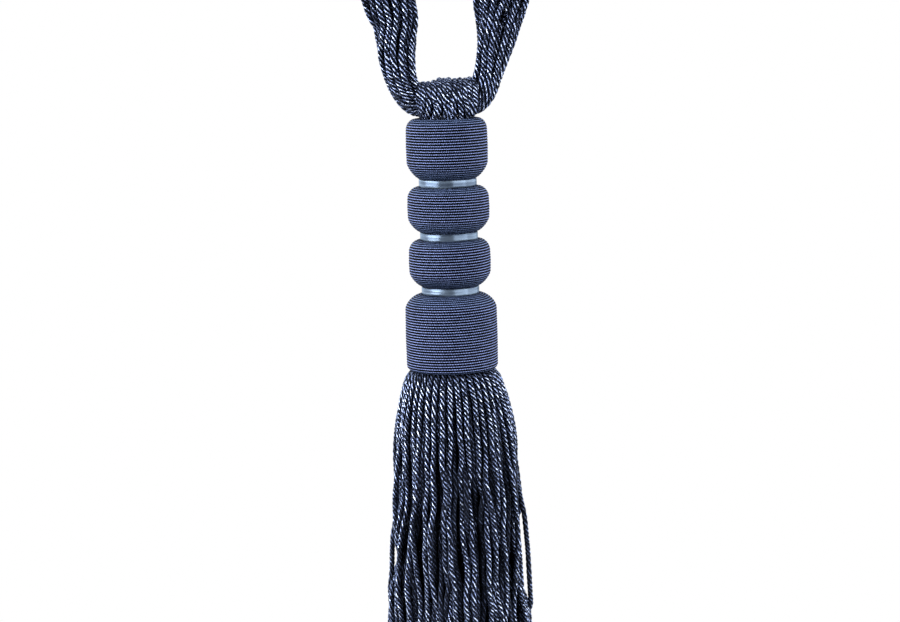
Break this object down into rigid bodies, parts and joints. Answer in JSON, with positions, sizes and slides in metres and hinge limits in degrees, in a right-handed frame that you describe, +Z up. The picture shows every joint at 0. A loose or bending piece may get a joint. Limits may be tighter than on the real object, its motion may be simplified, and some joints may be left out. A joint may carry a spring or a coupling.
{
  "type": "curtain tie-back tassel",
  "caption": "Curtain tie-back tassel: a looped hank of twisted cords, a head of stacked thread-wound moulds with satin ribbon bands between them, and a long skirt of twisted cords.",
  "frame": {"origin": "hanging point: the underside of the loop's crown, where a hook or peg bears", "axes": "+Z up along the tassel's axis, +X across the flat of the loop, -Y towards the front"},
  "size_m": [0.0929, 0.0712, 0.5109],
  "materials": {
    "cord": "four-strand twisted viscose cord, navy, lustrous",
    "thread": "fine twisted thread wound round, blue, satin",
    "ribbon": "satin ribbon, steel blue, glossy"
  },
  "bodies": {
    "root": {"hanging_loop": "cord", "neck_wrap": "cord", "top_mould": "thread", "upper_mould": "thread", "lower_mould": "thread", "bell_mould": "thread", "top_ribbon": "ribbon", "middle_ribbon": "ribbon", "bottom_ribbon": "ribbon", "skirt": "cord"}
  },
  "joints": []
}
